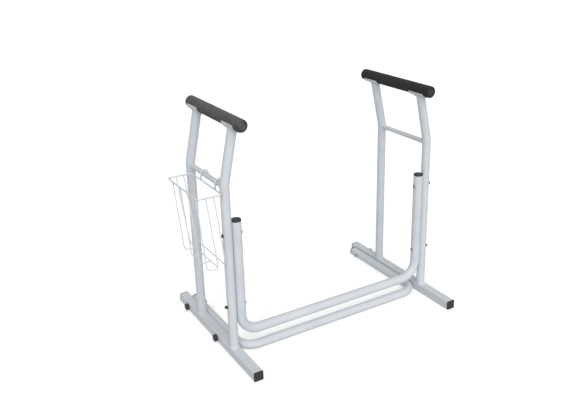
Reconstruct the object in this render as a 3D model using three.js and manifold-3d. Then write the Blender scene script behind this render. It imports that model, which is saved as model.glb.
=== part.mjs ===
// Toilet safety frame: two welded side frames with padded armrests, joined across the front by
// an upper and a lower bent tube, with a wire magazine rack hooked over the left cross rail.
// Millimetres, +Z up, front faces -Y, +X to the right for somebody facing the frame's front.
import * as THREE from 'three';
import { mergeVertices } from 'three/addons/utils/BufferGeometryUtils.js';
import Module from 'manifold-3d';

const wasm = await Module();
wasm.setup();

// ---- Driving dimensions -------------------------------------------------------------------

const gap = 0.3;                 // clearance kept wherever two pieces meet

const sideX = 329;               // centre plane of each side frame, left and right of the middle
const baseSize = 27;             // square base tube, outside
const baseLength = 498;          // front to back, end caps included
const baseCorner = 2.5;
const baseWall = 1.5;
const baseCapFlange = 3;

const postY = 107;               // front post at -postY, rear post at +postY
const postRadius = 12.7;
const tubeWall = 1.4;
const bendHeight = 498;          // the posts lean inward above this height
const postBendRadius = 70;

const armX = 295;                // armrest axis
const armHeight = 655;
const gripRadius = 16.8;
const gripLength = 311;
const gripBore = 11;
const gripEdge = 4.5;            // rounding of the grip's ends
const plugDepth = 8;
const saddleThickness = 2;
const saddleLength = 60;
const saddleReach = 80;          // degrees that the saddle wraps up each side of the grip

const railRadius = 7.1;
const railHeight = 491.5;

const upperRadius = 13.7;        // upper U-shaped tube
const upperBarHeight = 62;
const upperTop = 394;
const upperBendRadius = 53;

const lowerRadius = 13;          // lower U-shaped tube
const lowerBarY = -112;
const lowerBendRadius = 47;
const lowerLegEnd = 215;

const tubeCapFlange = 5;         // outside height of the caps on the round tubes

const boltRadius = 3;
const boltHole = 3.4;
const postBoltHeights = { lower: 153, upper: 361 };
const baseBoltY = { front: -22, rear: 182 };
const postNut = { radius: 5, height: 7, boreDepth: 5, headRadius: 5.5, headHeight: 1.4 };
const baseNut = { radius: 10, height: 8.8, boreDepth: 6.8, headRadius: 5, headHeight: 6.5 };

const rimWire = 2.5;             // radius of the rack's rim and hooks
const rackWire = 1.6;            // radius of the rack's thinner wires
const rimHeight = 481;
const rimOuterX = -412;
const rimFrontY = -125;
const rimRearY = 66;
const rimCorner = 9;
const rackBottom = 283;
const rackTaper = 4.5;           // the end hoops lean in this much at the bottom
const sideWireY = [-119, -69, -20, 30];
const sideWireFoot = -395.8;     // where the side wires' lean meets the rack's floor
const sideWireBend = 14;
const outerHoop = { topX: -388.5, bottomX: -366 };
const innerHoop = { topX: -367.5, bottomX: -344.2 };
const hookY = { front: -73, rear: 14 };
const hookSlack = 1.5;           // the hooks' crests stand this much higher than the rail needs

// ---- Sizes worked out from the driving ones -----------------------------------------------

const postOuterX = sideX + postRadius;
const baseOuterX = sideX + baseSize / 2;
const upperX = sideX - postRadius - gap - upperRadius;
const lowerX = sideX - baseSize / 2 - gap - lowerRadius;
const lowerHeight = baseSize / 2;
const saddleInside = gripRadius + gap;
const saddleOutside = saddleInside + saddleThickness;
const postLean = THREE.MathUtils.radToDeg(Math.atan2(sideX - armX, armHeight - bendHeight));
const coreRadius = gripBore - gap;

// ---- Finishes -------------------------------------------------------------------------------

const finish = (color, roughness, metalness = 0) => (
  () => new THREE.MeshStandardMaterial({ color, roughness, metalness })
);
const powderCoat = finish(0xe3e7ec, 0.38);
const wireCoat = finish(0xeceff0, 0.3);
const gripFoam = finish(0x2f2f2e, 0.7);
const blackPlastic = finish(0x232326, 0.5);
const zincSteel = finish(0xaab0b4, 0.35, 0.9);

// ---- Solids ---------------------------------------------------------------------------------

// Turns a closed geometry into a solid that can be joined and cut.
function solidOf(geometry) {
  const bare = geometry.clone();
  bare.deleteAttribute('normal');
  bare.deleteAttribute('uv');
  const merged = mergeVertices(bare, 1e-4);
  return new wasm.Manifold(new wasm.Mesh({
    numProp: 3,
    vertProperties: new Float32Array(merged.attributes.position.array),
    triVerts: new Uint32Array(merged.index.array),
  }));
}

function geometryOf(solid) {
  const mesh = solid.getMesh();
  const geometry = new THREE.BufferGeometry();
  geometry.setAttribute('position', new THREE.BufferAttribute(mesh.vertProperties, 3));
  geometry.setIndex(new THREE.BufferAttribute(mesh.triVerts, 1));
  geometry.computeVertexNormals();
  return geometry;
}

function cut(geometry, ...tools) {
  let solid = solidOf(geometry);
  for (const tool of tools) solid = solid.subtract(solidOf(tool));
  return geometryOf(solid);
}

function join(...geometries) {
  const [first, ...others] = geometries.map(solidOf);
  return geometryOf(others.reduce((sum, solid) => sum.add(solid), first));
}

// ---- Shapes that repeat ---------------------------------------------------------------------

const degrees = (angle) => THREE.MathUtils.degToRad(angle);

function circlePoints(radius, sides) {
  return Array.from({ length: sides }, (_, i) => {
    const angle = i * 2 * Math.PI / sides;
    return new THREE.Vector2(radius * Math.cos(angle), radius * Math.sin(angle));
  });
}

function roundSection(radius, wall, sides) {
  const section = new THREE.Shape(circlePoints(radius, sides));
  if (wall) section.holes.push(new THREE.Path(circlePoints(radius - wall, sides)));
  return section;
}

function roundedSquare(size, corner, Kind = THREE.Shape) {
  const outline = new Kind();
  const inset = size / 2 - corner;
  const turns = [[1, 1, 0], [-1, 1, 90], [-1, -1, 180], [1, -1, 270]];
  for (const [sx, sy, start] of turns) {
    outline.absarc(sx * inset, sy * inset, corner, degrees(start), degrees(start + 90), false);
  }
  outline.closePath();
  return outline;
}

// A pipe run: straight lengths between corners, each corner rounded to the bend radius.
// Rings of the extrusion fall at the two ends of each straight and along each bend.
class PipeRun extends THREE.Curve {
  constructor(corners, bendRadius, bendSteps) {
    super();
    this.places = [corners[0].clone()];
    this.headings = [corners[1].clone().sub(corners[0]).normalize()];
    for (let i = 1; i < corners.length - 1; i += 1) {
      this.addBend(corners[i - 1], corners[i], corners[i + 1], bendRadius, bendSteps);
    }
    this.places.push(corners[corners.length - 1].clone());
    this.headings.push(this.headings[this.headings.length - 1].clone());
  }

  addBend(before, corner, after, radius, steps) {
    const inward = corner.clone().sub(before).normalize();
    const outward = after.clone().sub(corner).normalize();
    const angle = inward.angleTo(outward);
    const side = outward.clone().addScaledVector(inward, -Math.cos(angle)).normalize();
    const start = corner.clone().addScaledVector(inward, -radius * Math.tan(angle / 2));
    const centre = start.clone().addScaledVector(side, radius);
    for (let i = 0; i <= steps; i += 1) {
      const turned = angle * i / steps;
      this.places.push(centre.clone()
        .addScaledVector(side, -radius * Math.cos(turned))
        .addScaledVector(inward, radius * Math.sin(turned)));
      this.headings.push(inward.clone().multiplyScalar(Math.cos(turned))
        .addScaledVector(side, Math.sin(turned)));
    }
  }

  get steps() {
    return this.places.length - 1;
  }

  getPointAt(u) {
    return this.places[Math.round(u * this.steps)].clone();
  }

  getTangentAt(u) {
    return this.headings[Math.round(u * this.steps)].clone();
  }
}

function bentTube(corners, { radius, wall = 0, sides = 16, bendRadius = 1, bendSteps = 5 }) {
  const run = new PipeRun(corners, bendRadius, bendSteps);
  return new THREE.ExtrudeGeometry(roundSection(radius, wall, sides), {
    steps: run.steps,
    extrudePath: run,
  });
}

const at = (x, y, z) => new THREE.Vector3(x, y, z);

// A piece turned about the Y axis from [radius, height] points.
function turned(profile, sides) {
  return new THREE.LatheGeometry(profile.map(([r, y]) => new THREE.Vector2(r, y)), sides);
}

// A solid rod between two points, used for cutting holes and rounded ends.
function rod(from, to, radius, sides = 16) {
  const length = from.distanceTo(to);
  const geometry = new THREE.CylinderGeometry(radius, radius, length, sides);
  const turn = new THREE.Quaternion().setFromUnitVectors(at(0, 1, 0), to.clone().sub(from).normalize());
  geometry.applyQuaternion(turn);
  geometry.translate(...from.clone().add(to).multiplyScalar(0.5).toArray());
  return geometry;
}

const holeAcross = (side, y, z) => rod(at(side * 270, y, z), at(side * 370, y, z), boltHole, 8);

// ---- Frame assembly -------------------------------------------------------------------------

const frame = new THREE.Group();

function place(name, geometry, material) {
  const mesh = new THREE.Mesh(geometry, material);
  mesh.name = name;
  frame.add(mesh);
}

const sides = [['left', -1], ['right', 1]];
const ends = [['front', -1], ['rear', 1]];

// Square base tube lying front to back, drilled for the two bolts that hold the lower tube.
function baseTube(side) {
  const section = roundedSquare(baseSize, baseCorner);
  section.holes.push(roundedSquare(baseSize - 2 * baseWall, baseCorner - baseWall, THREE.Path));
  const length = baseLength - 2 * (baseCapFlange + gap);
  const tube = new THREE.ExtrudeGeometry(section, { depth: length, bevelEnabled: false, curveSegments: 2 });
  tube.translate(0, 0, -length / 2);
  tube.rotateX(Math.PI / 2);
  tube.translate(side * sideX, 0, baseSize / 2);
  return cut(tube, ...Object.values(baseBoltY).map((y) => holeAcross(side, y, baseSize / 2)));
}

// Black cap that closes one end of a base tube: a flange outside and a stem inside the tube.
function baseCap() {
  const flange = new THREE.ExtrudeGeometry(roundedSquare(baseSize, baseCorner), {
    depth: baseCapFlange - 1.2, bevelEnabled: true, bevelThickness: 0.6, bevelSize: 0.6,
    bevelOffset: -0.6, bevelSegments: 1, curveSegments: 2,
  });
  flange.translate(0, 0, 0.6);
  const stemSize = baseSize - 2 * baseWall - 2 * gap;
  const stem = new THREE.ExtrudeGeometry(roundedSquare(stemSize, 0.8), {
    depth: 14, bevelEnabled: false, curveSegments: 1,
  });
  stem.translate(0, 0, -13);
  return join(flange, stem);
}

function postCorners(side, end) {
  const foot = at(side * sideX, end * postY, baseSize + gap);
  const bend = at(side * sideX, end * postY, bendHeight);
  const head = at(side * armX, end * postY, armHeight);
  return [foot, bend, head];
}

// Round post welded on the base tube: upright to the cross rail, then leaning inward to the arm,
// where its head is cut round to meet the saddle.
function post(side, end) {
  const tube = bentTube(postCorners(side, end), {
    radius: postRadius, wall: tubeWall, bendRadius: postBendRadius, bendSteps: 2,
  });
  const saddleRoom = rod(
    at(side * armX, end * postY - 40, armHeight),
    at(side * armX, end * postY + 40, armHeight),
    saddleOutside + gap, 32,
  );
  const holes = end < 0
    ? Object.values(postBoltHeights).map((z) => holeAcross(side, -postY, z))
    : [];
  return cut(tube, saddleRoom, ...holes);
}

// Thin rail between the posts of one side, its ends cut round to meet them.
function crossRail(side) {
  const tube = bentTube([at(side * sideX, -postY, railHeight), at(side * sideX, postY, railHeight)], {
    radius: railRadius, wall: 1.2, sides: 20,
  });
  const postRooms = ends.map(([, end]) => rod(
    at(side * sideX, end * postY, railHeight - 40),
    at(side * sideX, end * postY, railHeight + 40),
    postRadius + gap, 24,
  ));
  return cut(tube, ...postRooms);
}

// Half-round plate, square to the leaning post, that cradles the armrest; drilled for its screw.
function saddle(side, end) {
  const section = new THREE.Shape();
  const middle = 270 + side * postLean;
  const from = degrees(middle - saddleReach);
  const to = degrees(middle + saddleReach);
  section.absarc(0, 0, saddleOutside, from, to, false);
  section.absarc(0, 0, saddleInside, to, from, true);
  section.closePath();
  const plate = new THREE.ExtrudeGeometry(section, {
    depth: saddleLength, bevelEnabled: false, curveSegments: 10,
  });
  plate.rotateX(Math.PI / 2);
  plate.translate(side * armX, end * postY + saddleLength / 2, armHeight);
  return cut(plate, screwHole(side, end));
}

const screwY = (end) => end * (postY - 21);

function screwHole(side, end) {
  const foot = at(side * armX, screwY(end), armHeight - 30);
  return rod(foot, foot.clone().setZ(armHeight - 5), 2.4, 8);
}

// Soft grip sleeve with rounded ends, open at both ends around its steel core.
function grip(side) {
  const half = gripLength / 2;
  const profile = [new THREE.Vector2(gripBore, -half)];
  for (const end of [-1, 1]) {
    for (let i = 0; i <= 2; i += 1) {
      const angle = degrees(end < 0 ? -90 + 45 * i : 45 * i);
      profile.push(new THREE.Vector2(
        gripRadius - gripEdge + gripEdge * Math.cos(angle),
        end * (half - gripEdge) + gripEdge * Math.sin(angle),
      ));
    }
  }
  profile.push(new THREE.Vector2(gripBore, half), profile[0].clone());
  const sleeve = new THREE.LatheGeometry(profile, 24);
  sleeve.translate(side * armX, 0, armHeight);
  return cut(sleeve, ...ends.map(([, end]) => screwHole(side, end)));
}

function gripCore(side) {
  const reach = gripLength / 2 - plugDepth - gap;
  const tube = bentTube([at(side * armX, -reach, armHeight), at(side * armX, reach, armHeight)], {
    radius: coreRadius, wall: 1.5,
  });
  return cut(tube, ...ends.map(([, end]) => screwHole(side, end)));
}

// Round plug that closes the grip's bore, slightly sunk in its end.
function gripPlug() {
  return turned([[0, 0], [coreRadius, 0], [coreRadius, 6.4], [coreRadius - 1, 7.4], [0, 7.4]], 16);
}

// Pan-head screw that holds the armrest down on a saddle: head below, point up.
function gripScrew() {
  const screw = turned([[0, 0], [2.6, 0.2], [4, 1.2], [4, 2.6], [2, 2.6], [2, 13], [0, 15]], 8);
  return screw.rotateX(Math.PI / 2);
}

for (const [sideName, side] of sides) {
  place(`base_tube_${sideName}`, baseTube(side), powderCoat());
  place(`cross_rail_${sideName}`, crossRail(side), powderCoat());
  place(`armrest_grip_${sideName}`, grip(side), gripFoam());
  place(`armrest_core_${sideName}`, gripCore(side), zincSteel());
  for (const [endName, end] of ends) {
    const label = `${endName}_${sideName}`;
    place(`post_${label}`, post(side, end), powderCoat());
    place(`saddle_${label}`, saddle(side, end), powderCoat());

    const cap = baseCap().rotateX(end < 0 ? Math.PI / 2 : -Math.PI / 2);
    cap.translate(side * sideX, end * (baseLength / 2 - baseCapFlange), baseSize / 2);
    place(`base_cap_${label}`, cap, blackPlastic());

    const plug = gripPlug().rotateX(end < 0 ? Math.PI : 0);
    plug.translate(side * armX, end * (gripLength / 2 - plugDepth), armHeight);
    place(`armrest_plug_${label}`, plug, blackPlastic());

    const screw = gripScrew();
    screw.translate(side * armX, screwY(end), armHeight - saddleOutside - gap - 2.6);
    place(`armrest_screw_${label}`, screw, zincSteel());
  }
}

// ---- Upper and lower front tubes ------------------------------------------------------------

// Upper tube: an upright against the inner side of each front post, joined by a bar across.
function upperTube() {
  const tube = bentTube([
    at(-upperX, -postY, upperTop),
    at(-upperX, -postY, upperBarHeight),
    at(upperX, -postY, upperBarHeight),
    at(upperX, -postY, upperTop),
  ], { radius: upperRadius, wall: tubeWall, bendRadius: upperBendRadius });
  const holes = Object.values(postBoltHeights)
    .flatMap((z) => sides.map(([, side]) => holeAcross(side, -postY, z)));
  return cut(tube, ...holes);
}

// Lower tube: a bar across the front near the floor and a leg back along each base tube.
function lowerTube() {
  const tube = bentTube([
    at(-lowerX, lowerLegEnd, lowerHeight),
    at(-lowerX, lowerBarY, lowerHeight),
    at(lowerX, lowerBarY, lowerHeight),
    at(lowerX, lowerLegEnd, lowerHeight),
  ], { radius: lowerRadius, wall: tubeWall, bendRadius: lowerBendRadius });
  const holes = Object.values(baseBoltY)
    .flatMap((y) => sides.map(([, side]) => holeAcross(side, y, lowerHeight)));
  return cut(tube, ...holes);
}

// Round end cap along +Y: a flange with a nearly flat face, and a stem down into the tube.
function roundCap(radius) {
  const stem = radius - tubeWall - gap;
  return turned([
    [0, -12], [stem, -12], [stem, gap], [radius, gap],
    [radius, tubeCapFlange - 0.7], [radius - 0.7, tubeCapFlange], [0, tubeCapFlange + 0.6],
  ], 16);
}

place('front_tube_upper', upperTube(), powderCoat());
place('front_tube_lower', lowerTube(), powderCoat());
for (const [sideName, side] of sides) {
  const upperCap = roundCap(upperRadius).rotateX(Math.PI / 2);
  upperCap.translate(side * upperX, -postY, upperTop);
  place(`upper_tube_cap_${sideName}`, upperCap, blackPlastic());

  const lowerCap = roundCap(lowerRadius);
  lowerCap.translate(side * lowerX, lowerLegEnd, lowerHeight);
  place(`lower_tube_cap_${sideName}`, lowerCap, blackPlastic());
}

// ---- Bolts and cap nuts ---------------------------------------------------------------------

// Bolt along +X, with the underside of its head at x = 0.
function bolt(length, { headRadius, headHeight }) {
  return turned([
    [0, -headHeight], [headRadius - 1.2, -headHeight], [headRadius, 1.2 - headHeight], [headRadius, 0],
    [boltRadius, 0], [boltRadius, length - 0.6], [boltRadius - 0.6, length], [0, length],
  ], 8).rotateZ(-Math.PI / 2);
}

// Small dome nut moulded on a round washer, along +X, its seat at x = 0 and its bore blind.
function domeNut({ radius, height, boreDepth }) {
  return turned([
    [0, boreDepth], [boltHole, boreDepth], [boltHole, 0], [radius, 0], [radius, 0.7],
    [radius - 0.3, 1.2], [4.3, 1.2], [4.3, height - 2.2], [3, height - 0.4], [0, height],
  ], 14).rotateZ(-Math.PI / 2);
}

// Large round cap nut with a dished face, along +X, its seat at x = 0 and its bore blind.
function roundNut({ radius, height, boreDepth }) {
  return turned([
    [0, boreDepth], [boltHole, boreDepth], [boltHole, 0], [radius, 0], [radius, height - 1.2],
    [radius - 1.2, height], [radius - 4, height], [radius - 5, height - 0.7], [0, height - 0.7],
  ], 16).rotateZ(-Math.PI / 2);
}

// A bolt across two tubes: its head rests at headX and its nut at nutX.
function placeBolt(label, headX, nutX, y, z, nutShape, nutSize, nutFinish) {
  const direction = Math.sign(nutX - headX);
  const reach = Math.abs(nutX - headX) + 2 * gap + nutSize.boreDepth - 0.4;
  const turn = direction < 0 ? Math.PI : 0;
  const shank = bolt(reach, nutSize).rotateZ(turn);
  shank.translate(headX - direction * gap, y, z);
  place(`bolt_${label}`, shank, zincSteel());
  const nut = nutShape(nutSize).rotateZ(turn);
  nut.translate(nutX + direction * gap, y, z);
  place(`cap_nut_${label}`, nut, nutFinish());
}

for (const [sideName, side] of sides) {
  for (const [height, z] of Object.entries(postBoltHeights)) {
    // The upper right nut is bare steel; all the others have a black cap.
    const bare = sideName === 'right' && height === 'upper';
    placeBolt(`post_${height}_${sideName}`, side * (upperX - upperRadius), side * postOuterX,
      -postY, z, domeNut, postNut, bare ? zincSteel : blackPlastic);
  }
  for (const [endName, y] of Object.entries(baseBoltY)) {
    placeBolt(`base_${endName}_${sideName}`, side * (lowerX - lowerRadius), side * baseOuterX,
      y, lowerHeight, roundNut, baseNut, blackPlastic);
  }
}

// ---- Magazine rack --------------------------------------------------------------------------

const rimInnerX = -(postOuterX + gap + rimWire);
const wireTop = rimHeight - rimWire - gap;       // thin wires are welded under the rim

// Rim: one wire bent into a rectangle, its two ends meeting on the side next to the posts.
function rackRim() {
  const seamY = (rimFrontY + rimRearY) / 2;
  return bentTube([
    at(rimInnerX, seamY, rimHeight),
    at(rimInnerX, rimFrontY, rimHeight),
    at(rimOuterX, rimFrontY, rimHeight),
    at(rimOuterX, rimRearY, rimHeight),
    at(rimInnerX, rimRearY, rimHeight),
    at(rimInnerX, seamY + gap, rimHeight),
  ], { radius: rimWire, sides: 10, bendRadius: rimCorner, bendSteps: 4 });
}

// Side wire: down from the rim's outer side, leaning inward, then under the outer hoop.
function rackSideWire(y) {
  const floorZ = rackBottom - 2 * rackWire - gap;
  return bentTube([
    at(rimOuterX, y, wireTop),
    at(sideWireFoot, y, floorZ),
    at(outerHoop.bottomX + rackWire, y, floorZ),
  ], { radius: rackWire, sides: 8, bendRadius: sideWireBend, bendSteps: 4 });
}

// Hoop: down from the rim's front side, back along the bottom and up to its rear side.
function rackHoop({ topX, bottomX }) {
  return bentTube([
    at(topX, rimFrontY, wireTop),
    at(bottomX, rimFrontY + rackTaper, rackBottom),
    at(bottomX, rimRearY - rackTaper, rackBottom),
    at(topX, rimRearY, wireTop),
  ], { radius: rackWire, sides: 8, bendRadius: 7, bendSteps: 3 });
}

// Hook over the cross rail: its long leg is welded to the rim's inner side.
function rackHook(y) {
  const hookRadius = railRadius + 0.6 + rimWire;
  const railX = -sideX;
  const crest = railHeight + hookRadius + hookSlack;
  return bentTube([
    at(railX - hookRadius, y, rimHeight - 8),
    at(railX - hookRadius, y, crest),
    at(railX + hookRadius, y, crest),
    at(railX + hookRadius, y, railHeight - 6),
  ], { radius: rimWire, sides: 10, bendRadius: hookRadius - 0.01, bendSteps: 4 });
}

place('rack_rim', rackRim(), wireCoat());
sideWireY.forEach((y, i) => place(`rack_side_wire_${i + 1}`, rackSideWire(y), wireCoat()));
place('rack_hoop_outer', rackHoop(outerHoop), wireCoat());
place('rack_hoop_inner', rackHoop(innerHoop), wireCoat());
for (const [endName, y] of Object.entries(hookY)) place(`rack_hook_${endName}`, rackHook(y), wireCoat());

// ---- Origin ---------------------------------------------------------------------------------

// The origin is on the floor under the middle of the whole object, rack included.
const size = new THREE.Box3().setFromObject(frame, true);
frame.position.x = -(size.min.x + size.max.x) / 2;
frame.updateMatrixWorld(true);

export default frame;
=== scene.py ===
"""Toilet safety frame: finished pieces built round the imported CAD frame.

Shapes are worked out in millimetres from the middle plane between the two side frames, with the
floor at height 0 and the front facing -Y. The function piece turns them into the CAD's metres.
"""

import math

import bmesh
import bpy
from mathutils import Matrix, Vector


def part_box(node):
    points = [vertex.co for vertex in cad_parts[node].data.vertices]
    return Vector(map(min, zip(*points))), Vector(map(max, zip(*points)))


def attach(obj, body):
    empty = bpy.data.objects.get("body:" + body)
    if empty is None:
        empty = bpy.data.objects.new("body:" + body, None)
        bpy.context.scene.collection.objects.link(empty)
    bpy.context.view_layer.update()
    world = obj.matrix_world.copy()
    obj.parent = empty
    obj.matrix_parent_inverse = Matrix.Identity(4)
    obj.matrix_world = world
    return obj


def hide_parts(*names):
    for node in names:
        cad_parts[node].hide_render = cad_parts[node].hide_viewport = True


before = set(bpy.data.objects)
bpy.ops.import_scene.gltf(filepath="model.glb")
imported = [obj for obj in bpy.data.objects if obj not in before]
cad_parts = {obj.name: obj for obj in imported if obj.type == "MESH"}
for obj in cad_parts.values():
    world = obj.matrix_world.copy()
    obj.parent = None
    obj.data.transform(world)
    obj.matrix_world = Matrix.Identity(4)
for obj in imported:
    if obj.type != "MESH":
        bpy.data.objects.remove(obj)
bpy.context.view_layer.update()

# ---- The frame's own dimensions, in millimetres ------------------------------------------------

MM = 0.001
GAP = 0.3

BASE_SIZE = 27
BASE_LENGTH = 498
BASE_CORNER = 2.5
BASE_WALL = 1.5
BASE_CAP_FLANGE = 3
BASE_CAP_RIM = 2.4
BASE_CAP_EDGE = 0.9
STEM_RIBS = 3
STEM_RIB_PITCH = 4
STEM_RIB_DEPTH = 0.6

POST_Y = 107
POST_RADIUS = 12.7
TUBE_WALL = 1.4
BEND_HEIGHT = 498
POST_BEND_RADIUS = 70

GRIP_RADIUS = 16.8
GRIP_LENGTH = 311
GRIP_BORE = 11
GRIP_EDGE = 4.5
PLUG_DEPTH = 8
PLUG_LENGTH = 7.4
SADDLE_INSIDE = GRIP_RADIUS + GAP
SADDLE_OUTSIDE = SADDLE_INSIDE + 2
SADDLE_LENGTH = 60
SADDLE_REACH = 80
SADDLE_CORNER = 3
SADDLE_EDGE = 0.35
SCREW_INSET = 21
SCREW_HEAD = 2.6

RAIL_RADIUS = 7.1
RAIL_WALL = 1.2

UPPER_RADIUS = 13.7
UPPER_BAR_HEIGHT = 62
UPPER_TOP = 394
UPPER_BEND_RADIUS = 53

LOWER_RADIUS = 13
LOWER_BAR_Y = -112
LOWER_BEND_RADIUS = 47
LOWER_LEG_END = 215

TUBE_CAP_FLANGE = 5
TUBE_CAP_STEM = 12

BOLT_RADIUS = 3
NUT_BORE_RADIUS = 3.4
POST_BOLT_HEIGHTS = {"lower": 153, "upper": 361}
POST_BOLT_HEAD = {"head_radius": 5.5, "head_height": 1.4}
POST_NUT_BORE = 5
BASE_BOLT_Y = {"front": -22, "rear": 182}
BASE_BOLT_HEAD = {"head_radius": 5, "head_height": 6.5}
BASE_NUT_BORE = 6.8

RIM_WIRE = 2.5
RACK_WIRE = 1.6
RIM_HEIGHT = 481
RIM_OUTER_X = -412
RIM_FRONT_Y = -125
RIM_REAR_Y = 66
RIM_CORNER = 9
RIM_FLATS = 0.12             # how far the flats of the CAD's many-sided rim lie inside its radius
RACK_BOTTOM = 283
RACK_TAPER = 4.5
SIDE_WIRE_Y = [-119, -69, -20, 30]
SIDE_WIRE_FOOT = -395.8
SIDE_WIRE_BEND = 14
HOOPS = {"outer": (-388.5, -366), "inner": (-367.5, -344.2)}    # X of the top and of the bottom
HOOP_BEND = 7
HOOK_Y = {"front": -73, "rear": 14}
HOOK_CLEARANCE = 0.6
HOOK_SLACK = 1.5
HOOK_BELOW_RIM = 8
HOOK_BELOW_RAIL = 6

FOOT_WELD_WIDTH = 2.6
FOOT_WELD_HEIGHT = 2.3
HEAD_WELD_RADIUS = 1.5
RAIL_WELD_RADIUS = 1.25
SHARP_ANGLE = 38             # degrees between two faces, from which their edge stays sharp

SIDES = {"left": -1, "right": 1}
ENDS = {"front": -1, "rear": 1}


def middle(node):
    """Middle of a CAD node's box, in metres."""
    low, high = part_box(node)
    return (low + high) / 2


centre_x = (middle("base_tube_left").x + middle("base_tube_right").x) / 2
SIDE_X = (middle("base_tube_right").x - centre_x) / MM
ARM_X = (middle("armrest_grip_right").x - centre_x) / MM
ARM_HEIGHT = middle("armrest_grip_right").z / MM
RAIL_HEIGHT = middle("cross_rail_right").z / MM

POST_LEAN = math.atan2(SIDE_X - ARM_X, ARM_HEIGHT - BEND_HEIGHT)
POST_OUTER_X = SIDE_X + POST_RADIUS
BASE_OUTER_X = SIDE_X + BASE_SIZE / 2
UPPER_X = SIDE_X - POST_RADIUS - GAP - UPPER_RADIUS
LOWER_X = SIDE_X - BASE_SIZE / 2 - GAP - LOWER_RADIUS
LOWER_HEIGHT = BASE_SIZE / 2
RIM_INNER_X = -(POST_OUTER_X + GAP + RIM_WIRE)
WIRE_TOP = RIM_HEIGHT - RIM_WIRE - GAP

X, Y, Z = Vector((1, 0, 0)), Vector((0, 1, 0)), Vector((0, 0, 1))


# ---- Materials ---------------------------------------------------------------------------------
# A roughness range that crosses about 0.27 renders with sharp-edged patches, as 0.26 to 0.30 did
# on the powder coat. So each range here stays above it.


class Surface:
    """A node material whose textures follow the piece itself, in metres."""

    def __init__(self, name, metallic=0.0, specular=0.5, sheen=0.0):
        self.material = bpy.data.materials.new(name)
        self.material.use_nodes = True
        self.nodes = self.material.node_tree.nodes
        self.links = self.material.node_tree.links
        self.shader = self.nodes["Principled BSDF"]
        self.shader.inputs["Metallic"].default_value = metallic
        self.shader.inputs["Specular IOR Level"].default_value = specular
        self.shader.inputs["Sheen Weight"].default_value = sheen
        self.place = self.nodes.new("ShaderNodeTexCoord").outputs["Object"]

    def texture(self, kind, output, stretch, settings):
        mapping = self.nodes.new("ShaderNodeMapping")
        mapping.inputs["Scale"].default_value = stretch
        self.links.new(self.place, mapping.inputs["Vector"])
        node = self.nodes.new(kind)
        self.links.new(mapping.outputs["Vector"], node.inputs["Vector"])
        for name, value in settings.items():
            node.inputs[name].default_value = value
        return node.outputs[output]

    def noise(self, scale, detail=2.0, stretch=(1, 1, 1)):
        return self.texture("ShaderNodeTexNoise", 0, stretch, {"Scale": scale, "Detail": detail})

    def cells(self, scale):
        return self.texture("ShaderNodeTexVoronoi", "Distance", (1, 1, 1), {"Scale": scale})

    def colour(self, value, stops):
        """Colour between two stops, each a value and its tone."""
        ramp = self.nodes.new("ShaderNodeValToRGB")
        self.links.new(value, ramp.inputs["Fac"])
        for stop, (position, tone) in zip(ramp.color_ramp.elements, stops):
            stop.position = position
            stop.color = (*tone, 1)
        self.links.new(ramp.outputs["Color"], self.shader.inputs["Base Color"])

    def roughness(self, value, low, high):
        spread = self.nodes.new("ShaderNodeMapRange")
        self.links.new(value, spread.inputs["Value"])
        spread.inputs["From Min"].default_value = 0.3
        spread.inputs["From Max"].default_value = 0.7
        spread.inputs["To Min"].default_value = low
        spread.inputs["To Max"].default_value = high
        self.links.new(spread.outputs["Result"], self.shader.inputs["Roughness"])

    def bump(self, *layers):
        """Each layer is (height, strength, distance in metres)."""
        normal = None
        for height, strength, distance in layers:
            node = self.nodes.new("ShaderNodeBump")
            node.inputs["Strength"].default_value = strength
            node.inputs["Distance"].default_value = distance
            self.links.new(height, node.inputs["Height"])
            if normal:
                self.links.new(normal, node.inputs["Normal"])
            normal = node.outputs["Normal"]
        self.links.new(normal, self.shader.inputs["Normal"])


def powder_coat():
    """White powder coat: cool, satin, with an orange-peel skin and faint handling marks."""
    coat = Surface("powder_coat", specular=0.42)
    coat.colour(coat.noise(14, 4), [(0.3, (0.585, 0.625, 0.665)), (0.7, (0.64, 0.672, 0.705))])
    coat.roughness(coat.noise(45, 5), 0.285, 0.35)
    coat.bump((coat.noise(620, 1), 0.3, 0.0002), (coat.noise(70, 2), 0.06, 0.0006))
    return coat.material


def wire_coat():
    """Thinner, glossier white coat on the rack's wires."""
    coat = Surface("wire_coat", specular=0.5)
    coat.colour(coat.noise(30, 3), [(0.3, (0.66, 0.68, 0.70)), (0.7, (0.72, 0.735, 0.75))])
    coat.roughness(coat.noise(90, 4), 0.285, 0.38)
    coat.bump((coat.noise(900, 1), 0.3, 0.00015), (coat.noise(150, 1), 0.15, 0.0004))
    return coat.material


def grip_foam():
    """Closed-cell black foam: small open pores in a soft, uneven skin."""
    foam = Surface("grip_foam", specular=0.2, sheen=0.03)
    foam.shader.inputs["Sheen Roughness"].default_value = 0.6
    foam.colour(foam.noise(110, 6), [(0.32, (0.016,) * 3), (0.68, (0.030, 0.030, 0.029))])
    foam.roughness(foam.noise(260, 3), 0.62, 0.88)
    foam.bump(
        (foam.cells(1100), 0.55, 0.0004),
        (foam.noise(420, 4), 0.5, 0.0005),
        (foam.noise(34, 2), 0.2, 0.0012),
    )
    return foam.material


def black_plastic():
    """Moulded plastic with a fine matt grain."""
    plastic = Surface("black_plastic", specular=0.7)
    plastic.colour(plastic.noise(200, 3), [(0.3, (0.014,) * 3), (0.7, (0.024,) * 3)])
    plastic.roughness(plastic.noise(500, 3), 0.42, 0.6)
    plastic.bump((plastic.noise(1500, 2), 0.35, 0.00012))
    return plastic.material


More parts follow.
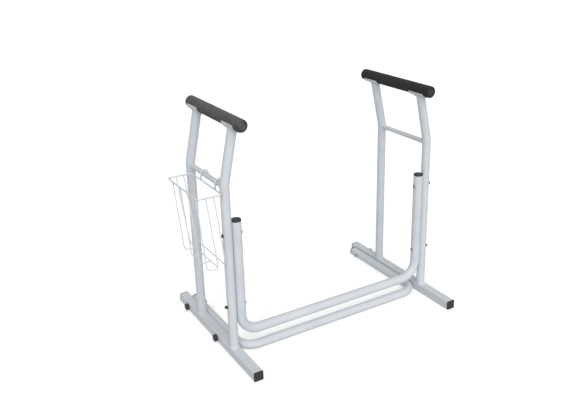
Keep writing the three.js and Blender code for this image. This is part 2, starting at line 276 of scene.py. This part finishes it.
def zinc_steel():
    """Zinc-plated steel, dulled and faintly streaked."""
    steel = Surface("zinc_steel", metallic=1.0)
    steel.colour(steel.noise(300, 4), [(0.3, (0.36, 0.375, 0.38)), (0.7, (0.52, 0.53, 0.535))])
    steel.roughness(steel.noise(400, 4, (1, 1, 6)), 0.28, 0.46)
    steel.bump((steel.noise(1200, 3, (1, 1, 8)), 0.25, 0.0001))
    return steel.material


MATERIALS = {
    "powder_coat": powder_coat(),
    "wire_coat": wire_coat(),
    "grip": grip_foam(),
    "black_plastic": black_plastic(),
    "zinc_steel": zinc_steel(),
}


# ---- Outlines and paths ------------------------------------------------------------------------


def circle(radius, count=64):
    """Points of a circle. A radius may also be a function of the angle."""
    angles = [2 * math.pi * i / count for i in range(count)]
    reach = radius if callable(radius) else lambda angle: radius
    return [(reach(a) * math.cos(a), reach(a) * math.sin(a)) for a in angles]


def hexagon(across_flats):
    """Radius of a hexagonal outline at each angle."""
    return lambda a: across_flats / 2 / math.cos((a + math.pi / 6) % (math.pi / 3) - math.pi / 6)


def rounded_square(size, corner, steps=7):
    """Points of a square outline with round corners."""
    inset = size / 2 - corner
    outline = []
    for turn, (sx, sy) in enumerate([(1, 1), (-1, 1), (-1, -1), (1, -1)]):
        for i in range(steps + 1):
            angle = math.radians(90 * (turn + i / steps))
            x = sx * inset + corner * math.cos(angle)
            y = sy * inset + corner * math.sin(angle)
            outline.append((x, y))
    return outline


def quarter(radius_at, height_at, size, from_degrees, to_degrees, steps=6):
    """Profile points (radius, height) round part of a circle."""
    points = []
    for i in range(steps + 1):
        angle = math.radians(from_degrees + (to_degrees - from_degrees) * i / steps)
        points.append((radius_at + size * math.cos(angle), height_at + size * math.sin(angle)))
    return points


def run(corners, bend_radius=1.0, step=5):
    """Stations (point, heading) of a pipe: straight lengths joined by round bends."""
    corners = [Vector(c) for c in corners]
    stations = [(corners[0], (corners[1] - corners[0]).normalized())]
    for before, corner, after in zip(corners, corners[1:], corners[2:]):
        inward = (corner - before).normalized()
        outward = (after - corner).normalized()
        angle = inward.angle(outward)
        side = (outward - inward * math.cos(angle)).normalized()
        centre = corner - inward * bend_radius * math.tan(angle / 2) + side * bend_radius
        steps = max(3, math.ceil(math.degrees(angle) / step))
        for i in range(steps + 1):
            a = angle * i / steps
            point = centre - side * bend_radius * math.cos(a) + inward * bend_radius * math.sin(a)
            stations.append((point, inward * math.cos(a) + side * math.sin(a)))
    stations.append((corners[-1], stations[-1][1]))
    return stations


def plane_of(stations):
    """Normal of the plane that the stations lie in, or any normal to a straight run."""
    first = stations[0][1]
    for _, heading in stations:
        if heading.angle(first) > 0.01:
            return first.cross(heading).normalized()
    return first.orthogonal().normalized()


# ---- Solids ------------------------------------------------------------------------------------
# A solid is (points, faces). Most are a loft: a row of rings with the same number of points.


def loft(rings, looped=False):
    """Skin over a row of rings. It is closed by its first and last ring, or joined into a loop."""
    count = len(rings[0])
    points = [p for ring in rings for p in ring]
    faces = []
    for i in range(len(rings) if looped else len(rings) - 1):
        here, there = i * count, (i + 1) % len(rings) * count
        for j in range(count):
            k = (j + 1) % count
            faces.append((here + j, here + k, there + k, there + j))
    if not looped:
        faces.append(tuple(range(count))[::-1])
        faces.append(tuple(range(len(points) - count, len(points))))
    return points, faces


def ring(point, heading, up, outline):
    """Outline laid square to heading, with its first axis along up."""
    across = (up - heading * up.dot(heading)).normalized()
    other = heading.cross(across)
    return [point + across * x + other * y for x, y in outline]


def rings_along(stations, outline, up=None):
    up = up or plane_of(stations)
    return [ring(point, heading, up, outline) for point, heading in stations]


def hollow(stations, outside, inside, trim=None):
    """Tube with a bore. Trim moves the points of its end rings, as when an end is cut to fit."""
    walls = [rings_along(stations, outline) for outline in (outside, inside)]
    if trim:
        for rings in walls:
            rings[0] = [trim(p, -stations[0][1]) for p in rings[0]]
            rings[-1] = [trim(p, stations[-1][1]) for p in rings[-1]]
    return loft(walls[0] + walls[1][::-1], looped=True)


def wire(stations, radius, count=20):
    """Solid wire with slightly rounded cut ends."""
    edge = radius * 0.35
    (first, heading), (last, final) = stations[0], stations[-1]
    up = plane_of(stations)
    middle_rings = rings_along(
        [(first + heading * edge, heading), *stations[1:-1], (last - final * edge, final)],
        circle(radius, count), up,
    )
    small = circle(radius - edge, count)
    mid = circle(radius - edge * 0.3, count)
    start = [ring(first, heading, up, small), ring(first + heading * edge * 0.3, heading, up, mid)]
    end = [ring(last - final * edge * 0.3, final, up, mid), ring(last, final, up, small)]
    return loft(start + middle_rings + end)


def turned(profile, origin, axis, count=48, looped=False):
    """Solid turned about an axis through origin, from (radius, height) points."""
    axis = Vector(axis).normalized()
    up = axis.orthogonal().normalized()
    rings = [
        ring(origin + axis * height, axis, up, circle(radius, count))
        for radius, height in profile
    ]
    return loft(rings, looped)


def bead(points, radius, up, ripple_length=2.3):
    """Weld bead along a loop of points, with the ripples that a torch leaves."""
    count = len(points)
    length = sum((points[i] - points[i - 1]).length for i in range(count))
    ripples = round(length / ripple_length)
    rings = []
    for i, point in enumerate(points):
        heading = (points[(i + 1) % count] - points[i - 1]).normalized()
        swell = radius * (1 + 0.1 * math.sin(2 * math.pi * ripples * i / count))
        rings.append(ring(point, heading, up, circle(swell, 12)))
    return loft(rings, looped=True)


def nugget(centre, width, height, axis=Z):
    """Small flattened lump of weld."""
    profile = [(width * math.cos(math.radians(a)), height * math.sin(math.radians(a)))
               for a in range(-80, 81, 20)]
    lumps = [(lambda a, r=r: r * (1 + 0.07 * math.sin(3 * a + r))) for r, _ in profile]
    return turned([(lump, h) for lump, (_, h) in zip(lumps, profile)], Vector(centre), axis, 24)


def collar(origin, axis, radius, flare, length):
    """Fillet of weld where the end of a wire meets another wire; it thins out along the axis."""
    steps = 6
    profile = [(radius * 0.5, -radius * 0.5)]
    for i in range(steps + 1):
        share = i / steps
        profile.append((radius + flare * (1 - share) ** 2 + 0.02, length * share))
    profile.append((radius * 0.5, length))
    return turned(profile, Vector(origin), axis, 24)


# ---- Pieces ------------------------------------------------------------------------------------


def piece(node, slot, *solids, body="frame", flats=False):
    """Makes one finished piece of its solids and lets it stand for its CAD node."""
    points, faces = [], []
    for solid_points, solid_faces in solids:
        start = len(points)
        points += [(p.x * MM + centre_x, p.y * MM, p.z * MM) for p in solid_points]
        faces += [tuple(start + i for i in face) for face in solid_faces]
    mesh = bpy.data.meshes.new(f"fine_{node}")
    mesh.from_pydata(points, [], faces)
    work = bmesh.new()
    work.from_mesh(mesh)
    bmesh.ops.recalc_face_normals(work, faces=work.faces)
    work.to_mesh(mesh)
    work.free()
    mesh.polygons.foreach_set("use_smooth", [True] * len(mesh.polygons))
    mesh.set_sharp_from_angle(angle=math.radians(SHARP_ANGLE))
    mesh.materials.append(MATERIALS[slot])
    obj = bpy.data.objects.new(f"fine_{node}", mesh)
    bpy.context.scene.collection.objects.link(obj)
    if flats:
        even = obj.modifiers.new("even_flats", "WEIGHTED_NORMAL")
        even.keep_sharp = True
    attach(obj, body)
    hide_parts(node)
    return obj


def meet_cylinder(point, heading, centre, axis, radius):
    """Where a line along heading first meets a cylinder."""
    across = heading - axis * heading.dot(axis)
    offset = point - centre
    offset -= axis * offset.dot(axis)
    a, b, c = across.dot(across), 2 * across.dot(offset), offset.dot(offset) - radius ** 2
    return point + heading * ((-b - math.sqrt(b * b - 4 * a * c)) / (2 * a))


# ---- Side frames -------------------------------------------------------------------------------


def base_tube(side):
    """Square tube between its two end caps."""
    reach = BASE_LENGTH / 2 - BASE_CAP_FLANGE - GAP
    stations = [(Vector((side * SIDE_X, y, BASE_SIZE / 2)), Y) for y in (-reach, reach)]
    outer = rounded_square(BASE_SIZE, BASE_CORNER)
    inner = rounded_square(BASE_SIZE - 2 * BASE_WALL, BASE_CORNER - BASE_WALL)
    walls = [rings_along(stations, outline, Z) for outline in (outer, inner)]
    return loft(walls[0] + walls[1][::-1], looped=True)


def base_cap(side, end):
    """Black end cap: a flange with rounded edges round a slightly sunk face, and a ribbed stem."""
    sunk = BASE_SIZE - 2 * BASE_CAP_RIM
    stem = BASE_SIZE - 2 * BASE_WALL - 2 * GAP
    groove = stem - 2 * STEM_RIB_DEPTH
    layers = [(sunk, BASE_CAP_FLANGE - 0.45), (sunk + 0.5, BASE_CAP_FLANGE)]
    for reach, height in quarter(0, BASE_CAP_FLANGE - BASE_CAP_EDGE, BASE_CAP_EDGE, 90, 0):
        layers.append((BASE_SIZE - 2 * BASE_CAP_EDGE + 2 * reach, height))
    layers += [(BASE_SIZE, 0), (stem, 0)]
    for rib in range(STEM_RIBS):
        top = -2 - STEM_RIB_PITCH * rib
        foot = top - STEM_RIB_PITCH
        layers += [(stem, top), (groove, top - STEM_RIB_DEPTH)]
        layers += [(groove, foot + STEM_RIB_DEPTH), (stem, foot)]
    face = Vector((side * SIDE_X, end * (BASE_LENGTH / 2 - BASE_CAP_FLANGE), BASE_SIZE / 2))
    rings = []
    for size, height in layers:
        outline = rounded_square(size, min(BASE_CORNER, size * 0.1))
        rings.append(ring(face + Y * end * height, Y * end, Z, outline))
    return loft(rings)


def foot_weld(side, end):
    """Fillet round the post's foot, as wide as the base tube's top lets it be."""
    count = 200
    ripples = 34
    rings = []
    for i in range(count):
        angle = 2 * math.pi * i / count
        outward = Vector((math.cos(angle), math.sin(angle), 0))
        ripple = 1 + 0.08 * math.sin(ripples * angle)
        room = (BASE_SIZE / 2 - 0.4) / max(0.01, abs(math.cos(angle))) - POST_RADIUS
        width = max(0.25, min(FOOT_WELD_WIDTH * ripple, room))
        height = FOOT_WELD_HEIGHT * ripple
        section = [(-0.5, -0.2)]
        for reach, rise in quarter(0, 0, 1, 0, 90, 5):
            section.append((width * (1 - 0.15 * rise) * reach, height * rise * (1 - 0.15 * reach)))
        section.append((-0.5, height))
        centre = Vector((side * SIDE_X, end * POST_Y, BASE_SIZE))
        rings.append([centre + outward * (POST_RADIUS + r) + Z * h for r, h in section])
    return loft(rings, looped=True)


def post(side, end):
    """Post with its foot and head welds. Its head is cut to the round of the saddle."""
    stations = run([
        (side * SIDE_X, end * POST_Y, BASE_SIZE + GAP),
        (side * SIDE_X, end * POST_Y, BEND_HEIGHT),
        (side * ARM_X, end * POST_Y, ARM_HEIGHT),
    ], POST_BEND_RADIUS, step=1)
    arm = Vector((side * ARM_X, 0, ARM_HEIGHT))
    lean = stations[-1][1]

    def trim(point, heading):
        if heading.z < 0:
            return point
        return meet_cylinder(point, heading, arm, Y, SADDLE_OUTSIDE + GAP)

    tube = hollow(stations, circle(POST_RADIUS), circle(POST_RADIUS - TUBE_WALL), trim)
    edge = ring(stations[-1][0], lean, Y, circle(POST_RADIUS + 0.3, 240))
    seat = [meet_cylinder(p, lean, arm, Y, SADDLE_OUTSIDE + 0.3) for p in edge]
    return [tube, foot_weld(side, end), bead(seat, HEAD_WELD_RADIUS, lean)]


def saddle_face(face, edge, spread, columns=36):
    """One face of the saddle's section, as (radius, angle) points from spread to -spread.

    The points at either end step by edge, which is signed, into the plate.
    """
    inner_spread = spread - math.copysign(edge, spread) / face
    corner = [(face + edge, spread), (face, inner_spread)]
    across = [(face, inner_spread * (1 - 2 * i / columns)) for i in range(1, columns)]
    return corner + across + [(radius, -angle) for radius, angle in reversed(corner)]


def saddle(side, end):
    """Half-round plate with rounded corners, square to the leaning post, under the armrest."""
    half = SADDLE_LENGTH / 2
    reach = math.radians(SADDLE_REACH)
    corner = SADDLE_CORNER / SADDLE_OUTSIDE
    rows = [half - SADDLE_CORNER * (1 - math.sin(math.radians(a))) for a in range(0, 91, 15)]
    rows = [-y for y in reversed(rows)] + rows
    rings = []
    for y in rows:
        into = max(0.0, abs(y) - (half - SADDLE_CORNER)) / SADDLE_CORNER
        spread = reach - corner * (1 - math.sqrt(max(0.0, 1 - into ** 2)))
        section = saddle_face(SADDLE_OUTSIDE, -SADDLE_EDGE, spread)
        section += saddle_face(SADDLE_INSIDE, SADDLE_EDGE, -spread)
        turned_section = [(radius, angle + side * POST_LEAN) for radius, angle in section]
        centre = Vector((side * ARM_X, end * POST_Y + y, ARM_HEIGHT))
        rings.append([
            centre + X * radius * math.sin(angle) - Z * radius * math.cos(angle)
            for radius, angle in turned_section
        ])
    return loft(rings)


def cross_rail(side):
    """Thin rail between the posts, its cut ends and their weld beads following the posts."""
    centre = Vector((side * SIDE_X, 0, RAIL_HEIGHT))
    stations = [(centre, Y), (centre, Y)]        # trim carries both ends out to the posts

    def trim(point, heading):
        post_axis = Vector((side * SIDE_X, math.copysign(POST_Y, heading.y), 0))
        return meet_cylinder(point, heading, post_axis, Z, POST_RADIUS + GAP)

    welds = []
    for sign in (-1, 1):
        edge = ring(centre, Y, Z, circle(RAIL_RADIUS + 0.2, 140))
        welds.append(bead([trim(p, Y * sign) for p in edge], RAIL_WELD_RADIUS, Y))
    tube = hollow(stations, circle(RAIL_RADIUS, 48), circle(RAIL_RADIUS - RAIL_WALL, 48), trim)
    return [tube, *welds]


def grip(side):
    """Foam sleeve with rounded ends."""
    half = GRIP_LENGTH / 2
    flat = GRIP_RADIUS - GRIP_EDGE
    chamfer = 0.4
    profile = [(GRIP_BORE, -half + chamfer), (GRIP_BORE + chamfer, -half)]
    profile += quarter(flat, -half + GRIP_EDGE, GRIP_EDGE, -90, 0, 9)
    profile += quarter(flat, half - GRIP_EDGE, GRIP_EDGE, 0, 90, 9)
    profile += [(GRIP_BORE + chamfer, half), (GRIP_BORE, half - chamfer)]
    return turned(profile, Vector((side * ARM_X, 0, ARM_HEIGHT)), Y, 72, looped=True)


def grip_plug(side, end):
    """Round plug in the grip's end, with a shallow ring moulded in its face."""
    radius = GRIP_BORE - GAP
    edge = 1
    groove = PLUG_LENGTH - 0.5
    profile = [(0.5, 0), (radius - 0.3, 0), (radius, 0.4), (radius, PLUG_LENGTH - edge)]
    profile += quarter(radius - edge, PLUG_LENGTH - edge, edge, 0, 90, 4)
    profile += [(radius - 3, PLUG_LENGTH), (radius - 3.5, groove)]
    profile += [(radius - 4.5, groove), (radius - 5, PLUG_LENGTH), (0.5, PLUG_LENGTH)]
    origin = Vector((side * ARM_X, end * (GRIP_LENGTH / 2 - PLUG_DEPTH), ARM_HEIGHT))
    return turned(profile, origin, Y * end)


def grip_screw(side, end):
    """Pan-head screw under the saddle, with a hexagon socket."""
    head = ARM_HEIGHT - SADDLE_OUTSIDE - GAP - SCREW_HEAD
    socket = hexagon(2.5)
    profile = [(socket, 1.4), (socket, 0.15), (1.9, 0.05)]
    profile += [(2.6, 0.15), (3.4, 0.6), (3.9, 1.3), (4, 1.9), (4, SCREW_HEAD)]
    profile += [(2, SCREW_HEAD), (2, 13), (0.4, 15)]
    origin = Vector((side * ARM_X, end * (POST_Y - SCREW_INSET), head))
    return turned(profile, origin, Z, 36)


for side_name, side in SIDES.items():
    piece(f"base_tube_{side_name}", "powder_coat", base_tube(side), flats=True)
    piece(f"cross_rail_{side_name}", "powder_coat", *cross_rail(side))
    piece(f"armrest_grip_{side_name}", "grip", grip(side))
    # The core tube is hidden inside the sleeve, so its CAD solid stays, with a finished material.
    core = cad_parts[f"armrest_core_{side_name}"]
    for material_slot in core.material_slots:
        material_slot.material = MATERIALS["zinc_steel"]
    for end_name, end in ENDS.items():
        label = f"{end_name}_{side_name}"
        piece(f"post_{label}", "powder_coat", *post(side, end))
        piece(f"saddle_{label}", "powder_coat", saddle(side, end))
        piece(f"base_cap_{label}", "black_plastic", base_cap(side, end), flats=True)
        piece(f"armrest_plug_{label}", "black_plastic", grip_plug(side, end))
        piece(f"armrest_screw_{label}", "zinc_steel", grip_screw(side, end))


# ---- Upper and lower front tubes ---------------------------------------------------------------


def front_tube(corners, radius, bend_radius):
    """Round tube with open ends, bent at its corners."""
    return hollow(run(corners, bend_radius, step=3), circle(radius), circle(radius - TUBE_WALL))


def tube_cap(radius, end, axis):
    """Cap on a round tube's end: a thick flange round a face that is nearly flat."""
    stem = radius - TUBE_WALL - GAP
    edge = 0.7
    profile = [(stem - 1, -TUBE_CAP_STEM), (stem, 1 - TUBE_CAP_STEM)]
    profile += [(stem, GAP), (radius - 0.2, GAP), (radius, GAP + 0.2)]
    profile += quarter(radius - edge, TUBE_CAP_FLANGE - edge, edge, 0, 84, 5)
    for share in (0.92, 0.9, 0.6, 0.3, 0.05):
        profile.append((radius * share, TUBE_CAP_FLANGE + 0.5 * (1 - share ** 2)))
    return turned(profile, Vector(end), axis, 64)


piece("front_tube_upper", "powder_coat", front_tube([
    (-UPPER_X, -POST_Y, UPPER_TOP),
    (-UPPER_X, -POST_Y, UPPER_BAR_HEIGHT),
    (UPPER_X, -POST_Y, UPPER_BAR_HEIGHT),
    (UPPER_X, -POST_Y, UPPER_TOP),
], UPPER_RADIUS, UPPER_BEND_RADIUS))
piece("front_tube_lower", "powder_coat", front_tube([
    (-LOWER_X, LOWER_LEG_END, LOWER_HEIGHT),
    (-LOWER_X, LOWER_BAR_Y, LOWER_HEIGHT),
    (LOWER_X, LOWER_BAR_Y, LOWER_HEIGHT),
    (LOWER_X, LOWER_LEG_END, LOWER_HEIGHT),
], LOWER_RADIUS, LOWER_BEND_RADIUS))
for side_name, side in SIDES.items():
    upper_end = (side * UPPER_X, -POST_Y, UPPER_TOP)
    lower_end = (side * LOWER_X, LOWER_LEG_END, LOWER_HEIGHT)
    piece(f"upper_tube_cap_{side_name}", "black_plastic", tube_cap(UPPER_RADIUS, upper_end, Z))
    piece(f"lower_tube_cap_{side_name}", "black_plastic", tube_cap(LOWER_RADIUS, lower_end, Y))


# ---- Bolts and cap nuts ------------------------------------------------------------------------


def bolt(origin, axis, length, head_radius, head_height):
    """Button-head bolt with a hexagon socket, the underside of its head at the origin."""
    socket = hexagon(head_radius * 0.8)
    depth = min(2.2, head_height * 0.6)
    edge = min(1.4, head_height * 0.7)
    profile = [(socket, depth - head_height), (socket, 0.1 - head_height)]
    profile += [(head_radius * 0.56, -head_height)]
    profile += quarter(head_radius - edge, edge - head_height, edge, -90, 0, 5)
    profile += [(head_radius, -0.2), (head_radius - 0.2, 0), (BOLT_RADIUS, 0)]
    profile += [(BOLT_RADIUS, length - 0.6), (BOLT_RADIUS - 0.6, length)]
    return turned(profile, origin, axis, 48)


def dome_nut(origin, axis):
    """Small dome nut moulded on a round washer, with a blind bore."""
    profile = [(BOLT_RADIUS, POST_NUT_BORE), (NUT_BORE_RADIUS, POST_NUT_BORE - 0.2)]
    profile += [(NUT_BORE_RADIUS, 0), (4.8, 0), (5, 0.2)]
    profile += quarter(4.75, 0.9, 0.25, 0, 90, 4)
    profile += [(4.5, 1.2), (4.35, 1.3), (4.3, 1.5), (4.3, 4.7)]
    profile += quarter(2.0, 4.7, 2.3, 5, 84, 7)
    profile += [(0.5, 7)]
    return turned(profile, origin, axis, 48)


def round_nut(origin, axis):
    """Large round cap nut with a dished face and a blind bore."""
    profile = [(BOLT_RADIUS, BASE_NUT_BORE), (NUT_BORE_RADIUS, BASE_NUT_BORE - 0.2)]
    profile += [(NUT_BORE_RADIUS, 0), (9.7, 0), (10, 0.3), (10, 7.6)]
    profile += quarter(8.8, 7.6, 1.2, 10, 90, 6)
    profile += [(6.3, 8.8), (5.8, 8.65), (5.2, 8.25), (4.6, 8.1), (0.5, 8.1)]
    return turned(profile, origin, axis, 56)


def fasten(label, head_face, nut_face, head, nut, nut_bore, nut_slot="black_plastic"):
    """A bolt across two tubes, its head resting at head_face and its nut at nut_face."""
    across = nut_face - head_face
    axis = X * math.copysign(1, across.x)
    length = abs(across.x) + 2 * GAP + nut_bore - 0.4
    piece(f"bolt_{label}", "zinc_steel", bolt(head_face - axis * GAP, axis, length, **head))
    piece(f"cap_nut_{label}", nut_slot, nut(nut_face + axis * GAP, axis))


for side_name, side in SIDES.items():
    for height_name, z in POST_BOLT_HEIGHTS.items():
        # The upper right nut is bare steel; all the others have a black cap.
        bare = (side_name, height_name) == ("right", "upper")
        fasten(
            f"post_{height_name}_{side_name}",
            Vector((side * (UPPER_X - UPPER_RADIUS), -POST_Y, z)),
            Vector((side * POST_OUTER_X, -POST_Y, z)),
            POST_BOLT_HEAD, dome_nut, POST_NUT_BORE, "zinc_steel" if bare else "black_plastic",
        )
    for end_name, y in BASE_BOLT_Y.items():
        fasten(
            f"base_{end_name}_{side_name}",
            Vector((side * (LOWER_X - LOWER_RADIUS), y, LOWER_HEIGHT)),
            Vector((side * BASE_OUTER_X, y, LOWER_HEIGHT)),
            BASE_BOLT_HEAD, round_nut, BASE_NUT_BORE,
        )


# ---- Magazine rack -----------------------------------------------------------------------------


def rack_rim():
    """One wire bent into a rectangle; the butt weld of its two ends is on the posts' side."""
    seam_y = (RIM_FRONT_Y + RIM_REAR_Y) / 2
    stations = run([
        (RIM_INNER_X, seam_y, RIM_HEIGHT),
        (RIM_INNER_X, RIM_FRONT_Y, RIM_HEIGHT),
        (RIM_OUTER_X, RIM_FRONT_Y, RIM_HEIGHT),
        (RIM_OUTER_X, RIM_REAR_Y, RIM_HEIGHT),
        (RIM_INNER_X, RIM_REAR_Y, RIM_HEIGHT),
        (RIM_INNER_X, seam_y, RIM_HEIGHT),
    ], RIM_CORNER)
    loop = loft(rings_along(stations[:-1], circle(RIM_WIRE - RIM_FLATS, 24), Z), looped=True)
    swell = [
        (RIM_WIRE - 0.1 + 0.35 * math.cos(math.radians(a)), 1.6 * math.sin(math.radians(a)))
        for a in range(-90, 91, 15)
    ]
    return [loop, turned(swell, Vector((RIM_INNER_X, seam_y, RIM_HEIGHT)), Y, 24)]


def wire_top(x, y, towards):
    """Weld where the top of a thin wire meets the rim above it."""
    top = Vector((x, y, WIRE_TOP))
    down = (Vector(towards) - top).normalized()
    return collar(top + Z * 1.2, down, RACK_WIRE, flare=0.7, length=3.6)


def side_wire(y):
    """Wire down the rack's outer side, bent in under the outer hoop and welded to it."""
    floor_z = RACK_BOTTOM - 2 * RACK_WIRE - GAP
    outer_hoop_x = HOOPS["outer"][1]
    corners = [
        (RIM_OUTER_X, y, WIRE_TOP),
        (SIDE_WIRE_FOOT, y, floor_z),
        (outer_hoop_x + RACK_WIRE, y, floor_z),
    ]
    crossing = (outer_hoop_x, y, RACK_BOTTOM - RACK_WIRE - GAP / 2)
    return [
        wire(run(corners, SIDE_WIRE_BEND), RACK_WIRE),
        wire_top(RIM_OUTER_X, y, corners[1]),
        nugget(crossing, width=1.9, height=1.1),
    ]


def rack_hoop(top_x, bottom_x):
    """U-shaped wire from the rim's front end, along the rack's bottom, to its rear end."""
    corners = [
        (top_x, RIM_FRONT_Y, WIRE_TOP),
        (bottom_x, RIM_FRONT_Y + RACK_TAPER, RACK_BOTTOM),
        (bottom_x, RIM_REAR_Y - RACK_TAPER, RACK_BOTTOM),
        (top_x, RIM_REAR_Y, WIRE_TOP),
    ]
    return [
        wire(run(corners, HOOP_BEND), RACK_WIRE),
        wire_top(top_x, RIM_FRONT_Y, corners[1]),
        wire_top(top_x, RIM_REAR_Y, corners[2]),
    ]


def rack_hook(y):
    """Hook over the cross rail, its long leg welded to the rim's inner side."""
    radius = RAIL_RADIUS + HOOK_CLEARANCE + RIM_WIRE
    bend_radius = radius - 0.01        # so that the crest's two bends don't quite meet
    crest = RAIL_HEIGHT + radius + HOOK_SLACK
    leg_x = -SIDE_X - radius
    stations = run([
        (leg_x, y, RIM_HEIGHT - HOOK_BELOW_RIM),
        (leg_x, y, crest),
        (-SIDE_X + radius, y, crest),
        (-SIDE_X + radius, y, RAIL_HEIGHT - HOOK_BELOW_RAIL),
    ], bend_radius)
    weld = ((leg_x + RIM_INNER_X) / 2, y, RIM_HEIGHT)
    return [wire(stations, RIM_WIRE, 24), nugget(weld, width=2.3, height=1.3, axis=X)]


piece("rack_rim", "wire_coat", *rack_rim(), body="rack")
for i, y in enumerate(SIDE_WIRE_Y, start=1):
    piece(f"rack_side_wire_{i}", "wire_coat", *side_wire(y), body="rack")
for hoop_name, (top_x, bottom_x) in HOOPS.items():
    piece(f"rack_hoop_{hoop_name}", "wire_coat", *rack_hoop(top_x, bottom_x), body="rack")
for end_name, y in HOOK_Y.items():
    piece(f"rack_hook_{end_name}", "wire_coat", *rack_hook(y), body="rack")


# ---- Floor, light and camera -------------------------------------------------------------------

FLOOR_REACH = 40.0           # metres, as is the camera's place
STAGE_TONE = 0.87
CAMERA_PLACE = (-0.9838, -1.6205, 1.1162)
CAMERA_YAW = 30.591          # degrees from +Y towards +X
CAMERA_PITCH = 20.903        # degrees below the horizon
CAMERA_ROLL = -1.356
CAMERA_LENS = 43.836
CAMERA_SHIFT = (-0.0106, -0.0207)


def stage_piece(name, corners, faces, glow):
    """Part of the stage. Its glow keeps it white, and it throws no light back on the object."""
    mesh = bpy.data.meshes.new(name)
    mesh.from_pydata(corners, [], faces)
    paint = Surface(name, specular=0.2)
    tones = [(0.3, (STAGE_TONE - 0.01,) * 3), (0.7, (STAGE_TONE + 0.01,) * 3)]
    paint.colour(paint.noise(2, 2), tones)
    paint.roughness(paint.noise(6, 2), 0.75, 0.85)
    paint.shader.inputs["Emission Color"].default_value = (1, 1, 1, 1)
    paint.shader.inputs["Emission Strength"].default_value = glow
    mesh.materials.append(paint.material)
    obj = bpy.data.objects.new(name, mesh)
    obj.visible_glossy = False
    obj.visible_diffuse = False
    bpy.context.scene.collection.objects.link(obj)
    return obj


def pale_floor():
    r = FLOOR_REACH
    corners = [(-r, -r, 0), (r, -r, 0), (r, r, 0), (-r, r, 0)]
    stage_piece("floor", corners, [(0, 1, 2, 3)], glow=0.36)


def pale_walls():
    """Far wall all round, for views that look past the floor's edge."""
    count = 48
    ring_points = [(FLOOR_REACH * x, FLOOR_REACH * y) for x, y in circle(1, count)]
    corners = [(x, y, z) for z in (-1, FLOOR_REACH) for x, y in ring_points]
    faces = [(i, (i + 1) % count, count + (i + 1) % count, count + i) for i in range(count)]
    faces.append(tuple(range(count, 2 * count)))
    walls = stage_piece("walls", corners, faces, glow=1.0)
    walls.visible_shadow = False


def soft_light(name, azimuth, elevation, strength, spread, only=()):
    """Far soft light, on everything or only on some pieces.

    Angles are in degrees. Azimuth is measured from -Y towards +X.
    """
    data = bpy.data.lights.new(name, "SUN")
    data.energy = strength
    data.angle = math.radians(spread)
    light = bpy.data.objects.new(name, data)
    turn, rise = math.radians(azimuth), math.radians(elevation)
    level = Vector((math.sin(turn), -math.cos(turn), 0))
    source = level * math.cos(rise) + Z * math.sin(rise)
    light.rotation_euler = source.to_track_quat("Z", "Y").to_euler()
    if only:
        lit = bpy.data.collections.new(f"lit_by_{name}")
        for node in only:
            lit.objects.link(bpy.data.objects[f"fine_{node}"])
        light.light_linking.receiver_collection = lit
    bpy.context.scene.collection.objects.link(light)


def white_room(strength):
    """Even white light from all round."""
    world = bpy.data.worlds.new("white_room")
    world.use_nodes = True
    world.node_tree.nodes["Background"].inputs["Color"].default_value = (1, 1, 1, 1)
    world.node_tree.nodes["Background"].inputs["Strength"].default_value = strength
    bpy.context.scene.world = world


def photo_camera():
    """Camera in the place, and with the lens, that the frame's own edges give."""
    yaw, pitch, roll = (math.radians(a) for a in (CAMERA_YAW, CAMERA_PITCH, CAMERA_ROLL))
    right = Vector((math.cos(yaw), -math.sin(yaw), 0))
    ahead = Vector((math.sin(yaw), math.cos(yaw), 0)) * math.cos(pitch) - Z * math.sin(pitch)
    up = right.cross(ahead)
    tilted_right = right * math.cos(roll) + up * math.sin(roll)
    tilted_up = up * math.cos(roll) - right * math.sin(roll)
    data = bpy.data.cameras.new("camera")
    data.sensor_width = 36
    data.lens = CAMERA_LENS
    data.shift_x, data.shift_y = CAMERA_SHIFT
    camera = bpy.data.objects.new("camera", data)
    for row in range(3):
        camera.matrix_world[row][0] = tilted_right[row]
        camera.matrix_world[row][1] = tilted_up[row]
        camera.matrix_world[row][2] = -ahead[row]
        camera.matrix_world[row][3] = CAMERA_PLACE[row]
    bpy.context.scene.collection.objects.link(camera)
    bpy.context.scene.camera = camera


pale_floor()
pale_walls()
white_room(0.54)
soft_light("key", azimuth=-12, elevation=30, strength=1.65, spread=60)
soft_light("glint", azimuth=-50, elevation=52, strength=0.4, spread=6)
soft_light("haze", azimuth=-35, elevation=50, strength=7, spread=90,
           only=("armrest_grip_left", "armrest_plug_front_left"))
photo_camera()
bpy.context.scene.view_settings.view_transform = "Standard"
